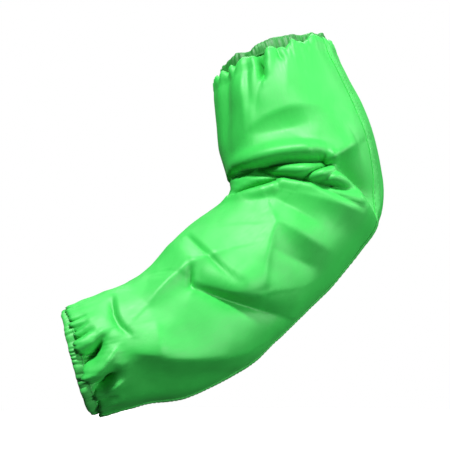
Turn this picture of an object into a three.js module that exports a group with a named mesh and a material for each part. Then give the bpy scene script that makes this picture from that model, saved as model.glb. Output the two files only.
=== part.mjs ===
// A welding sleeve of green flame-resistant cloth, in the bent shape that it has when it is worn.
// Millimetres, +Z up. +X is the outer side of the bend and -Y is its front.
// The origin is the middle of the upper opening, and the wrist opening is low at the front left.
import * as THREE from 'three';

// Lengths along the middle line of the tube
const UPPER_RUN = 103; // from the upper opening to where the elbow starts to bend
const FOREARM_RUN = 212; // from the end of the elbow to the wrist opening
const CROOK_RADIUS = 15; // how tightly the inside of the elbow bends

// Girths of the tube
const UPPER_GIRTH = 406; // loose cloth above the elbow
const FOREARM_GIRTH = 356; // loose cloth below the elbow
const UPPER_GRIP = 298; // upper opening, drawn in by its elastic
const WRIST_GRIP = 250; // wrist opening, drawn in by its elastic

// Cloth, elastic and seam
const CLOTH = 1.4; // wall of the body
const HEM_CLOTH = 1; // wall of a turned hem
const ELASTIC = 1.2; // thickness of an elastic band
const UPPER_HEM = 11; // depth of the casing at the upper opening
const WRIST_HEM = 9; // depth of the casing at the wrist
const HEM_TUCK = 2.5; // how far the body's edge is sewn into a casing
const SEAM_CLOTH = 1; // thickness of the folded seam that lies on the body
const SEAM_WIDTH = 8; // width of that seam
const FIT = 0.35; // clearance between pieces that touch

// Folds and gathers
const FOLD_DEPTH = 7; // the deepest crease
const FOLD_WIDTH = 7; // half the width of a plain crease
const PLEAT_DEPTH = 1.7; // height of a gather beside a hem
const PLEAT_REACH = 30; // how far the gathers run into the body
const UPPER_PLEATS = 17;
const WRIST_PLEATS = 15;

// The tube's heading, in degrees from straight down towards -X, above and below the elbow
const UPPER_HEADING = -18;
const ELBOW_HEADING = 47;
const WRIST_HEADING = 74;

// Faces of the solids
const COLUMNS = 60;
const LINE_STEPS = 900; // steps in which the middle line is added up
const FOLD_STEPS = 14; // points along the line of a fold

const radians = THREE.MathUtils.degToRad;
const UPPER_RADIUS = UPPER_GIRTH / (2 * Math.PI);
const ELBOW_RUN = (CROOK_RADIUS + UPPER_RADIUS) * radians(ELBOW_HEADING - UPPER_HEADING);
const RUN = UPPER_RUN + ELBOW_RUN + FOREARM_RUN;
const UPPER_HEM_END = UPPER_HEM / UPPER_RUN;
const WRIST_HEM_START = 3 - WRIST_HEM / FOREARM_RUN;

// Places along the tube are given as at: 0 to 1 is the upper part, 1 to 2 the elbow, 2 to 3 the forearm.
function lengthAt(at) {
  if (at < 1) return at * UPPER_RUN;
  if (at < 2) return UPPER_RUN + (at - 1) * ELBOW_RUN;
  return UPPER_RUN + ELBOW_RUN + (at - 2) * FOREARM_RUN;
}

// The middle line: its heading in the plane of the bend, and how far it leans to the front, in degrees.
const PATH = [
  { at: 0, heading: UPPER_HEADING, lean: 14 },
  { at: 0.93, heading: UPPER_HEADING, lean: 14 },
  { at: 2, heading: ELBOW_HEADING, lean: 17 },
  { at: 2.5, heading: ELBOW_HEADING + 11, lean: 17 },
  { at: 2.8, heading: WRIST_HEADING - 5, lean: 14 },
  { at: 3, heading: WRIST_HEADING, lean: -3 },
];

// Sections. wide is the half width in the plane of the bend, deep is half the size from front to
// back, and out moves the section to the outer side. All three are shares of the girth's radius.
const SECTIONS = [
  { at: 0, girth: UPPER_GRIP, wide: 1.01, deep: 0.99, out: 0.09 },
  { at: UPPER_HEM_END, girth: UPPER_GRIP, wide: 1.04, deep: 1.02, out: 0.06 },
  { at: 0.17, girth: UPPER_GIRTH, wide: 0.87, deep: 0.85, out: 0.01 },
  { at: 0.3, girth: UPPER_GIRTH, wide: 0.92, deep: 0.9, out: -0.014 },
  { at: 0.45, girth: UPPER_GIRTH, wide: 0.965, deep: 0.93, out: -0.02 },
  { at: 0.7, girth: UPPER_GIRTH, wide: 1.03, deep: 0.95, out: -0.028 },
  { at: 0.95, girth: UPPER_GIRTH, wide: 1.045, deep: 0.96, out: -0.026 },
  { at: 1.15, girth: UPPER_GIRTH, wide: 1.035, deep: 0.96, out: 0 },
  { at: 1.36, girth: UPPER_GIRTH, wide: 1.06, deep: 0.95, out: 0.026 },
  { at: 1.51, girth: UPPER_GIRTH, wide: 1.03, deep: 0.92, out: 0.003 },
  { at: 1.66, girth: FOREARM_GIRTH, wide: 1.105, deep: 1.02, out: -0.05 },
  { at: 1.85, girth: FOREARM_GIRTH, wide: 1.055, deep: 1, out: -0.074 },
  { at: 2.05, girth: FOREARM_GIRTH, wide: 1.075, deep: 0.97, out: -0.081 },
  { at: 2.25, girth: FOREARM_GIRTH, wide: 1.1, deep: 0.95, out: -0.06 },
  { at: 2.36, girth: FOREARM_GIRTH, wide: 1.115, deep: 0.93, out: -0.01 },
  { at: 2.5, girth: FOREARM_GIRTH, wide: 1.04, deep: 0.91, out: 0.025 },
  { at: 2.65, girth: FOREARM_GIRTH, wide: 0.985, deep: 0.88, out: 0 },
  { at: 2.8, girth: FOREARM_GIRTH, wide: 0.9, deep: 0.82, out: -0.1 },
  { at: 2.92, girth: FOREARM_GIRTH, wide: 0.85, deep: 0.72, out: -0.11 },
  { at: WRIST_HEM_START, girth: WRIST_GRIP, wide: 1.14, deep: 0.86, out: -0.15 },
  { at: 3, girth: WRIST_GRIP, wide: 1.12, deep: 0.84, out: -0.15 },
];

// Folds, each along a curve through three places. around is in degrees: 0 is the outer side, 90 the
// front, 180 the crook and 270 the back. deep is a share of FOLD_DEPTH, and a ridge has a negative
// one. wide is a share of FOLD_WIDTH. peak says where along its line the fold is deepest. lip is the
// height of the roll beside it, as a share of its depth, and a negative one lies on the right.
const FOLDS = [
  {
    name: 'slit below the upper hem', at: [0.1, 0.2, 0.31], around: [98, 99, 101],
    deep: 0.75, wide: 0.7, peak: 0.1, lip: 0,
  },
  {
    name: 'gather beside the slit', at: [0.1, 0.3, 0.48], around: [112, 115, 117],
    deep: 0.5, wide: 0.8, peak: 0.1, lip: 0,
  },
  {
    name: 'hollow on the inner side', at: [0.1, 0.4, 0.75], around: [138, 146, 153],
    deep: 0.7, wide: 1.4, peak: 0.2, lip: 0,
  },
  {
    name: 'soft dent of the upper front', at: [0.66, 0.72, 0.8], around: [118, 98, 76],
    deep: 0.4, wide: 2.6, peak: 0.5, lip: 0,
  },
  {
    name: 'soft ridge towards the elbow', at: [0.7, 0.86, 1.02], around: [72, 52, 34],
    deep: -0.35, wide: 2.2, peak: 0.5, lip: 0,
  },
  {
    name: 'first crook crease', at: [1.15, 1.11, 1.17], around: [160, 112, 76],
    deep: 1, wide: 0.8, peak: 0.5, lip: 0.45,
  },
  {
    name: 'second crook crease', at: [1.26, 1.31, 1.37], around: [138, 106, 58],
    deep: 0.8, wide: 0.75, peak: 0.6, lip: 0.3,
  },
  {
    name: 'third crook crease', at: [1.93, 1.56, 1.39], around: [163, 134, 117],
    deep: 0.6, wide: 0.7, peak: 0.4, lip: -0.4,
  },
  {
    name: 'small crease between them', at: [1.28, 1.25, 1.21], around: [101, 88, 74],
    deep: 0.4, wide: 0.5, peak: 0.5, lip: 0,
  },
  {
    name: 'elbow hollow', at: [1.17, 1.27, 1.36], around: [70, 50, 20],
    deep: 0.9, wide: 1.7, peak: 0.55, lip: -0.35,
  },
  {
    name: 'soft dent below the creases', at: [1.66, 1.63, 1.63], around: [126, 92, 60],
    deep: 0.45, wide: 2, peak: 0.4, lip: 0,
  },
  {
    name: 'ridge below the elbow', at: [1.89, 1.85, 1.81], around: [106, 78, 48],
    deep: -0.35, wide: 1.9, peak: 0.5, lip: 0,
  },
  {
    name: 'second dent below the elbow', at: [2.01, 2.01, 2.03], around: [94, 70, 44],
    deep: 0.4, wide: 1.7, peak: 0.5, lip: 0,
  },
  {
    name: 'dent at the top of the forearm', at: [2.3, 2.32, 2.29], around: [162, 128, 100],
    deep: 0.35, wide: 1.1, peak: 0.5, lip: 0,
  },
  {
    name: 'fold under the bright facet', at: [2.46, 2.34, 2.21], around: [124, 88, 42],
    deep: 0.8, wide: 1.4, peak: 0.5, lip: 0.35,
  },
  {
    name: 'ridge along the top of the forearm', at: [2.24, 2.45, 2.68], around: [116, 132, 122],
    deep: -0.3, wide: 1.5, peak: 0.6, lip: 0,
  },
  {
    name: 'ridge along the front of the forearm', at: [2.82, 2.64, 2.44], around: [84, 70, 42],
    deep: -0.35, wide: 1.8, peak: 0.4, lip: 0,
  },
  {
    name: 'dent along the underside', at: [2.84, 2.66, 2.42], around: [58, 44, 22],
    deep: 0.45, wide: 2.2, peak: 0.4, lip: 0,
  },
  {
    name: 'small dent near the wrist', at: [2.79, 2.81, 2.79], around: [152, 125, 100],
    deep: 0.4, wide: 0.9, peak: 0.4, lip: 0,
  },
  {
    name: 'upper wrist pocket', at: [2.88, 2.93, 2.96], around: [108, 97, 86],
    deep: 0.95, wide: 0.9, peak: 0.6, lip: -0.4,
  },
  {
    name: 'lower wrist pocket', at: [2.87, 2.92, 2.96], around: [72, 64, 55],
    deep: 0.85, wide: 0.75, peak: 0.6, lip: -0.4,
  },
  {
    name: 'ridge between the pockets', at: [2.87, 2.92, 2.96], around: [92, 82, 70],
    deep: -0.5, wide: 0.7, peak: 0.6, lip: 0,
  },
  {
    name: 'gather above the pockets', at: [2.92, 2.94, 2.96], around: [128, 126, 124],
    deep: 0.5, wide: 0.8, peak: 0.8, lip: 0,
  },
  {
    name: 'first crease behind the crook', at: [1.15, 1.2, 1.3], around: [200, 232, 272],
    deep: 0.9, wide: 0.9, peak: 0.4, lip: -0.4,
  },
  {
    name: 'second crease behind the crook', at: [1.6, 1.52, 1.45], around: [204, 236, 282],
    deep: 0.8, wide: 0.9, peak: 0.4, lip: 0.4,
  },
  {
    name: 'hollow behind the elbow', at: [1.35, 1.36, 1.38], around: [300, 320, 338],
    deep: 0.7, wide: 1.7, peak: 0.5, lip: -0.3,
  },
  {
    name: 'soft dent of the upper back', at: [0.5, 0.62, 0.78], around: [300, 270, 240],
    deep: 0.5, wide: 2.4, peak: 0.5, lip: 0,
  },
  {
    name: 'soft dent behind the forearm', at: [2.1, 2.3, 2.5], around: [300, 268, 232],
    deep: 0.6, wide: 1.9, peak: 0.5, lip: -0.3,
  },
  {
    name: 'dent behind the wrist', at: [2.68, 2.76, 2.84], around: [310, 276, 246],
    deep: 0.5, wide: 1.2, peak: 0.5, lip: 0,
  },
];

// Rings of the body, as stretches of the tube with the number of steps in each
const BODY_STRETCHES = [
  { to: 0.3, steps: 4 },
  { to: 1, steps: 4 },
  { to: 1.5, steps: 9 },
  { to: 2, steps: 3 },
  { to: 2.75, steps: 6 },
  { to: WRIST_HEM_START, steps: 6 },
];

// The middle of the seam, in degrees around the tube: the worn cloth is a little twisted
const SEAM_LINE = [
  { at: 0, around: 27 },
  { at: 0.95, around: 26 },
  { at: 1.25, around: 20 },
  { at: 1.7, around: 10 },
  { at: 3, around: 7 },
];

// Evenly changing values between the rows of a table
function evenly(rows, column, along) {
  const last = rows.length - 1;
  let row = 0;
  while (row < last - 1 && lengthAt(rows[row + 1].at) < along) row += 1;
  const start = lengthAt(rows[row].at);
  const share = THREE.MathUtils.clamp((along - start) / (lengthAt(rows[row + 1].at) - start), 0, 1);
  return THREE.MathUtils.lerp(rows[row][column], rows[row + 1][column], share);
}

// A smooth curve through a table's values that never overshoots them
function smoothly(places, values, place) {
  const last = places.length - 1;
  let row = 0;
  while (row < last - 1 && places[row + 1] < place) row += 1;
  const rate = (i) => (values[i + 1] - values[i]) / (places[i + 1] - places[i]);
  const slope = (i) => {
    if (i === 0) return rate(0);
    if (i === last) return rate(last - 1);
    const before = rate(i - 1);
    const after = rate(i);
    return before * after > 0 ? (2 * before * after) / (before + after) : 0;
  };
  const span = places[row + 1] - places[row];
  const t = THREE.MathUtils.clamp((place - places[row]) / span, 0, 1);
  const rise = span * t * (1 - t);
  return (
    values[row] * (1 + 2 * t) * (1 - t) ** 2 +
    values[row + 1] * t * t * (3 - 2 * t) +
    rise * ((1 - t) * slope(row) - t * slope(row + 1))
  );
}

function headingAt(along) {
  const heading = radians(evenly(PATH, 'heading', along));
  const lean = radians(evenly(PATH, 'lean', along));
  return new THREE.Vector3(
    -Math.sin(heading) * Math.cos(lean),
    -Math.sin(lean),
    -Math.cos(heading) * Math.cos(lean),
  );
}

// The middle line, added up in short steps from the origin
const LINE_STEP = RUN / LINE_STEPS;
const middleLine = [new THREE.Vector3()];
for (let i = 0; i < LINE_STEPS; i += 1) {
  const step = headingAt((i + 0.5) * LINE_STEP).multiplyScalar(LINE_STEP);
  middleLine.push(step.add(middleLine[i]));
}

function middleAt(along) {
  const place = THREE.MathUtils.clamp(along / LINE_STEP, 0, LINE_STEPS);
  const i = Math.min(Math.floor(place), LINE_STEPS - 1);
  return new THREE.Vector3().lerpVectors(middleLine[i], middleLine[i + 1], place - i);
}

const sectionPlaces = SECTIONS.map((row) => lengthAt(row.at));
const sectionSizes = {};
for (const column of ['wide', 'deep', 'out']) {
  sectionSizes[column] = SECTIONS.map((row) => (row[column] * row.girth) / (2 * Math.PI));
}

function sizeAt(column, along) {
  return smoothly(sectionPlaces, sectionSizes[column], along);
}

// The tube before it is folded: a point of its middle surface
function plainPoint(along, around) {
  const tangent = headingAt(along);
  const front = new THREE.Vector3(0, -1, 0).addScaledVector(tangent, tangent.y).normalize();
  const outer = new THREE.Vector3().crossVectors(front, tangent);
  const turn = radians(around);
  const outward = sizeAt('out', along) + sizeAt('wide', along) * Math.cos(turn);
  return middleAt(along)
    .addScaledVector(outer, outward)
    .addScaledVector(front, sizeAt('deep', along) * Math.sin(turn));
}

// The direction that points out of the plain tube
function outwardAt(along, around) {
  const nudge = 0.5;
  const start = Math.max(along - nudge, 0);
  const end = Math.min(along + nudge, RUN);
  const lengthwise = plainPoint(end, around).sub(plainPoint(start, around));
  const crosswise = plainPoint(along, around + nudge).sub(plainPoint(along, around - nudge));
  return crosswise.cross(lengthwise).normalize();
}

// The value at t of a curve through three values at 0, a half and 1
function through([first, second, third], t) {
  return first * (1 - t) * (1 - 2 * t) + 4 * second * t * (1 - t) + third * t * (2 * t - 1);
}

const foldLines = FOLDS.map((fold) => {
  const points = [];
  for (let i = 0; i <= FOLD_STEPS; i += 1) {
    const t = i / FOLD_STEPS;
    points.push(plainPoint(lengthAt(through(fold.at, t)), through(fold.around, t)));
  }
  return { ...fold, points };
});

const bell = (x) => Math.exp(-x * x);

// How far one fold lifts a point of the plain tube
function foldHeight(fold, point, normal) {
  const nearest = new THREE.Vector3();
  const away = new THREE.Vector3();
  let best = { distance: Infinity, t: 0, side: 0 };
  for (let i = 0; i < FOLD_STEPS; i += 1) {
    const line = new THREE.Line3(fold.points[i], fold.points[i + 1]);
    const share = line.closestPointToPointParameter(point, true);
    line.at(share, nearest);
    away.subVectors(point, nearest);
    const distance = away.length();
    if (distance < best.distance) {
      const left = new THREE.Vector3().crossVectors(normal, line.delta(new THREE.Vector3()));
      best = { distance, t: (i + share) / FOLD_STEPS, side: Math.sign(left.dot(away)) };
    }
  }
  const width = fold.wide * FOLD_WIDTH;
  const reach = best.t < fold.peak ? fold.peak : 1 - fold.peak;
  const fromPeak = Math.abs(best.t - fold.peak) / reach;
  const strength = fold.deep * FOLD_DEPTH * (1 - 0.75 * fromPeak * fromPeak);
  const across = (best.distance / width) * best.side * Math.sign(fold.lip || 1);
  const roll = Math.abs(fold.lip) * bell((across - 1.9) / 1.1);
  return strength * (roll - bell(best.distance / width));
}

// Gathers: pleats round an opening, of uneven height, which fade out along the body
const ENDS = [
  { pleats: UPPER_PLEATS, hem: UPPER_HEM, from: (along) => along, start: 40 },
  { pleats: WRIST_PLEATS, hem: WRIST_HEM, from: (along) => RUN - along, start: 15 },
];

function gatherHeight(along, around) {
  let height = 0;
  for (const end of ENDS) {
    const past = Math.max(0, end.from(along) - end.hem) / PLEAT_REACH;
    const turn = radians(around + end.start);
    const drift = 0.8 * Math.sin(2 * turn) + 0.5 * Math.sin(3 * turn + 1);
    const uneven = 0.65 + 0.35 * Math.sin(5 * turn + 2);
    const swell = 0.45 + 2.6 * past;
    height += PLEAT_DEPTH * uneven * swell * Math.exp(-3 * past) * Math.cos(end.pleats * turn + drift);
  }
  return height;
}

const round = (along, around) => `${along.toFixed(4)} ${(((around % 360) + 360) % 360).toFixed(4)}`;
const clothPlaces = new Map();

// A point of the folded cloth, lifted off its middle surface
function clothPoint(along, around, lift) {
  const key = round(along, around);
  if (!clothPlaces.has(key)) {
    const point = plainPoint(along, around);
    const normal = outwardAt(along, around);
    let height = gatherHeight(along, around);
    const nearHem = Math.min(along - UPPER_HEM, RUN - WRIST_HEM - along) / HEM_TUCK;
    const clear = THREE.MathUtils.smoothstep(nearHem, 0, 3);
    for (const fold of foldLines) height += clear * foldHeight(fold, point, normal);
    clothPlaces.set(key, { point: point.addScaledVector(normal, height), normal });
  }
  const place = clothPlaces.get(key);
  return place.point.clone().addScaledVector(place.normal, lift);
}

// The columns of every ring, in degrees from the seam's middle: two of them are the seam's edges,
// and the rest are even
const SEAM_HALF_ANGLE = (SEAM_WIDTH / UPPER_GIRTH) * 180;
const columnsFromSeam = [];
for (let i = 0; i < COLUMNS; i += 1) {
  const even = (360 - 2 * SEAM_HALF_ANGLE) / (COLUMNS - 1);
  columnsFromSeam.push(SEAM_HALF_ANGLE + i * even);
}

function besideSeam(along, fromSeam, lift) {
  return clothPoint(along, evenly(SEAM_LINE, 'around', along) + fromSeam, lift);
}

function closedSolid(points, faces) {
  const geometry = new THREE.BufferGeometry();
  const positions = points.flatMap((point) => point.toArray());
  geometry.setAttribute('position', new THREE.Float32BufferAttribute(positions, 3));
  geometry.setIndex(faces);
  geometry.computeVertexNormals();
  return geometry;
}

// A band round the tube: its profile is a closed outline of places along the tube and lifts
function ringSolid(profile) {
  const points = [];
  const faces = [];
  for (const { along, lift } of profile) {
    for (const fromSeam of columnsFromSeam) points.push(besideSeam(along, fromSeam, lift));
  }
  for (let ring = 0; ring < profile.length; ring += 1) {
    const next = (ring + 1) % profile.length;
    for (let column = 0; column < COLUMNS; column += 1) {
      const beside = (column + 1) % COLUMNS;
      const a = ring * COLUMNS + column;
      const b = ring * COLUMNS + beside;
      const c = next * COLUMNS + beside;
      const d = next * COLUMNS + column;
      faces.push(a, c, d, a, b, c);
    }
  }
  return closedSolid(points, faces);
}

// A strip along the tube between two edges beside the seam's middle
function stripSolid(rows, edges, lifts) {
  const points = [];
  const faces = [];
  for (const along of rows) {
    points.push(besideSeam(along, edges[0], lifts[0]));
    points.push(besideSeam(along, edges[1], lifts[0]));
    points.push(besideSeam(along, edges[1], lifts[1]));
    points.push(besideSeam(along, edges[0], lifts[1]));
  }
  for (let row = 0; row < rows.length - 1; row += 1) {
    for (let side = 0; side < 4; side += 1) {
      const a = row * 4 + side;
      const b = row * 4 + ((side + 1) % 4);
      faces.push(a, b + 4, b, a, a + 4, b + 4);
    }
  }
  const end = (rows.length - 1) * 4;
  faces.push(0, 1, 2, 0, 2, 3);
  faces.push(end, end + 2, end + 1, end, end + 3, end + 2);
  return closedSolid(points, faces);
}

// The rings of the body, from inside one casing to inside the other
const bodyRows = [UPPER_HEM - HEM_TUCK, UPPER_HEM + 2 * FIT];
for (const stretch of BODY_STRETCHES) {
  const start = bodyRows[bodyRows.length - 1];
  const end = Math.min(lengthAt(stretch.to), RUN - WRIST_HEM - 2 * FIT);
  for (let step = 1; step <= stretch.steps; step += 1) {
    bodyRows.push(start + ((end - start) * step) / stretch.steps);
  }
}
bodyRows.push(RUN - WRIST_HEM + HEM_TUCK);

function bodyGeometry() {
  const outside = bodyRows.map((along) => ({ along, lift: CLOTH / 2 }));
  const inside = bodyRows.map((along) => ({ along, lift: -CLOTH / 2 }));
  return ringSolid([...outside, ...inside.reverse()]);
}

// A casing is cloth turned back on itself at the opening, with the body's edge between its two legs
const LEG_INSIDE = CLOTH / 2 + FIT;
const LEG_OUTSIDE = LEG_INSIDE + HEM_CLOTH;

function casingProfile(opening, inwards, depth) {
  const place = (distance, lift) => ({ along: opening + inwards * distance, lift });
  const profile = [
    place(0, 0),
    place(HEM_CLOTH, LEG_OUTSIDE),
    place(depth, LEG_OUTSIDE),
    place(depth, LEG_INSIDE),
    place(HEM_CLOTH, LEG_INSIDE),
    place(HEM_CLOTH, -LEG_INSIDE),
    place(depth, -LEG_INSIDE),
    place(depth, -LEG_OUTSIDE),
    place(HEM_CLOTH, -LEG_OUTSIDE),
  ];
  return inwards > 0 ? profile : profile.reverse();
}

// An elastic fills its casing between the fold at the opening and the body's edge
function elasticProfile(opening, inwards, depth) {
  const place = (distance, lift) => ({ along: opening + inwards * distance, lift });
  const near = HEM_CLOTH + 2 * FIT;
  const far = depth - HEM_TUCK - FIT;
  const profile = [
    place(near, ELASTIC / 2),
    place(far, ELASTIC / 2),
    place(far, -ELASTIC / 2),
    place(near, -ELASTIC / 2),
  ];
  return inwards > 0 ? profile : profile.reverse();
}

function seamGeometry() {
  const rows = bodyRows.slice(1, -1);
  const under = CLOTH / 2 + FIT;
  return stripSolid(rows, [-SEAM_HALF_ANGLE, SEAM_HALF_ANGLE], [under, under + SEAM_CLOTH]);
}

const green = 0x5fe070;
const FINISHES = {
  body: { color: green, roughness: 0.78, metalness: 0 },
  hem: { color: 0x54cf66, roughness: 0.8, metalness: 0 },
  seam: { color: 0x6fe67e, roughness: 0.8, metalness: 0 },
  elastic: { color: 0xe8e6dc, roughness: 0.9, metalness: 0 },
};

const sleeve = new THREE.Group();

function addPiece(name, geometry, finish) {
  const piece = new THREE.Mesh(geometry, new THREE.MeshStandardMaterial(finish));
  piece.name = name;
  sleeve.add(piece);
}

addPiece('sleeve_body', bodyGeometry(), FINISHES.body);
addPiece('upper_hem', ringSolid(casingProfile(0, 1, UPPER_HEM)), FINISHES.hem);
addPiece('wrist_hem', ringSolid(casingProfile(RUN, -1, WRIST_HEM)), FINISHES.hem);
addPiece('upper_elastic', ringSolid(elasticProfile(0, 1, UPPER_HEM)), FINISHES.elastic);
addPiece('wrist_elastic', ringSolid(elasticProfile(RUN, -1, WRIST_HEM)), FINISHES.elastic);
addPiece('arm_seam', seamGeometry(), FINISHES.seam);

export default sleeve;
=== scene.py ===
import bpy
import numpy as np
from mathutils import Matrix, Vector


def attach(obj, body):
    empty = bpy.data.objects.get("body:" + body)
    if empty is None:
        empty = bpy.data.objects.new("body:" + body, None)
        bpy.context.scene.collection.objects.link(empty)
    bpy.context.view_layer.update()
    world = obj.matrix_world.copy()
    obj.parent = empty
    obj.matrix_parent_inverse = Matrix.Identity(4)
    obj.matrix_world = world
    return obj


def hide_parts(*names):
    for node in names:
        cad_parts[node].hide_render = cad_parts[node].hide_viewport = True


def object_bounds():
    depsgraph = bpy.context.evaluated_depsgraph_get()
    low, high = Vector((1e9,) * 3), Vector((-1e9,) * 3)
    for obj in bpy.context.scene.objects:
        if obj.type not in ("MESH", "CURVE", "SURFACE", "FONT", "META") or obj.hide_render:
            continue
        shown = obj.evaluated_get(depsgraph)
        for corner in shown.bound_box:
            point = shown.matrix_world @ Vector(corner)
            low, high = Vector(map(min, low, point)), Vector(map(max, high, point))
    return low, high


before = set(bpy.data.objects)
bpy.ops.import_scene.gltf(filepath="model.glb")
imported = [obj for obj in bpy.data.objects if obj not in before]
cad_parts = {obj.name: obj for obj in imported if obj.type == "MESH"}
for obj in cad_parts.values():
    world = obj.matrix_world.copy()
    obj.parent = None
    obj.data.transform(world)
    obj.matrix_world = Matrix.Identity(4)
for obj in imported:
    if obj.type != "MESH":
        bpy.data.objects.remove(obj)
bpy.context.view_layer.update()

MM = 0.001

# Sizes of the frame
UPPER_RUN = 103
FOREARM_RUN = 212
CROOK_RADIUS = 15
UPPER_GIRTH = 406
FOREARM_GIRTH = 356
UPPER_GRIP = 298
WRIST_GRIP = 250
CLOTH = 1.4
HEM_CLOTH = 1.0
ELASTIC = 1.2
UPPER_HEM = 11
WRIST_HEM = 9
HEM_TUCK = 2.5
SEAM_CLOTH = 1.0
SEAM_WIDTH = 8
FIT = 0.35
FOLD_DEPTH = 7
FOLD_WIDTH = 7
PLEAT_DEPTH = 1.7
PLEAT_REACH = 30
UPPER_PLEATS = 17
WRIST_PLEATS = 15
UPPER_TUCKS = 57
WRIST_TUCKS = 49
SCALLOPS = 17

# Where the body puffs out beside a hem: height, slide along the tube, distance past the hem, width
UPPER_PUFF, UPPER_SLUMP, UPPER_PUFF_PAST, UPPER_PUFF_WIDTH = 1.9, -7.0, 4.5, 2.3
WRIST_PUFF, WRIST_SLUMP, WRIST_PUFF_PAST, WRIST_PUFF_WIDTH = 1.6, 6.5, 4, 2.1

# How much a hem is crushed, and how far along the tube that reaches
UPPER_CRUSH, UPPER_CRUSH_REACH = 1.3, 14
WRIST_CRUSH, WRIST_CRUSH_REACH = 0.45, 12

UPPER_HEADING = -18
ELBOW_HEADING = 47
WRIST_HEADING = 74

# Faces of the cloth
BODY_ROWS = 212
BODY_COLUMNS = 216
HEM_COLUMNS = 420
ELASTIC_COLUMNS = 240

# Steps of the tube's middle line, points on the line of a fold or crest, millimetres of cloth to
# a unit of the UV map
LINE_STEPS = 900
FOLD_STEPS = 19
CLOTH_UNIT = 100

# Stitches: their pitch, the share of it that shows, their thickness, how far they sink in, and
# how far the hem's row is from its inner edge
STITCH = 3.2
STITCH_SHARE = 0.78
THREAD = 0.3
STITCH_SINK = 0.15
HEM_STITCH_INSET = 1.2

# The seam's gap over the body, and the spacing of its rows
SEAM_GAP = 0.05
SEAM_STEP = 1.6

ELBOW_RUN = (CROOK_RADIUS + UPPER_GIRTH / (2 * np.pi)) * np.radians(ELBOW_HEADING - UPPER_HEADING)
RUN = UPPER_RUN + ELBOW_RUN + FOREARM_RUN

PATH = dict(
    at=[0, 0.93, 2, 2.5, 2.8, 3],
    heading=[
        UPPER_HEADING,
        UPPER_HEADING,
        ELBOW_HEADING,
        ELBOW_HEADING + 11,
        WRIST_HEADING - 5,
        WRIST_HEADING,
    ],
    lean=[14, 14, 17, 17, 14, -3],
)

# The middle of the seam, in degrees around the tube: the worn cloth is a little twisted
SEAM_LINE = dict(at=[0, 0.95, 1.25, 1.7, 3], around=[27, 26, 20, 10, 7])

# at, girth, wide, deep, out: half width, half depth and shift as shares of the girth's radius
SECTIONS = [
    (0, UPPER_GRIP, 1.01, 0.99, 0.09),
    (UPPER_HEM / UPPER_RUN, UPPER_GRIP, 1.04, 1.02, 0.06),
    (0.17, UPPER_GIRTH, 0.87, 0.85, 0.01),
    (0.3, UPPER_GIRTH, 0.92, 0.9, -0.014),
    (0.45, UPPER_GIRTH, 0.965, 0.93, -0.02),
    (0.7, UPPER_GIRTH, 1.03, 0.95, -0.028),
    (0.95, UPPER_GIRTH, 1.045, 0.96, -0.026),
    (1.15, UPPER_GIRTH, 1.035, 0.96, 0),
    (1.36, UPPER_GIRTH, 1.06, 0.95, 0.026),
    (1.51, UPPER_GIRTH, 1.03, 0.92, 0.003),
    (1.66, FOREARM_GIRTH, 1.105, 1.02, -0.05),
    (1.85, FOREARM_GIRTH, 1.055, 1, -0.074),
    (2.05, FOREARM_GIRTH, 1.075, 0.97, -0.081),
    (2.25, FOREARM_GIRTH, 1.1, 0.95, -0.06),
    (2.36, FOREARM_GIRTH, 1.115, 0.93, -0.01),
    (2.5, FOREARM_GIRTH, 1.04, 0.91, 0.025),
    (2.65, FOREARM_GIRTH, 0.985, 0.88, 0),
    (2.8, FOREARM_GIRTH, 0.9, 0.82, -0.1),
    (2.92, FOREARM_GIRTH, 0.85, 0.72, -0.11),
    (3 - WRIST_HEM / FOREARM_RUN, WRIST_GRIP, 1.14, 0.86, -0.15),
    (3, WRIST_GRIP, 1.12, 0.84, -0.15),
]

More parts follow.
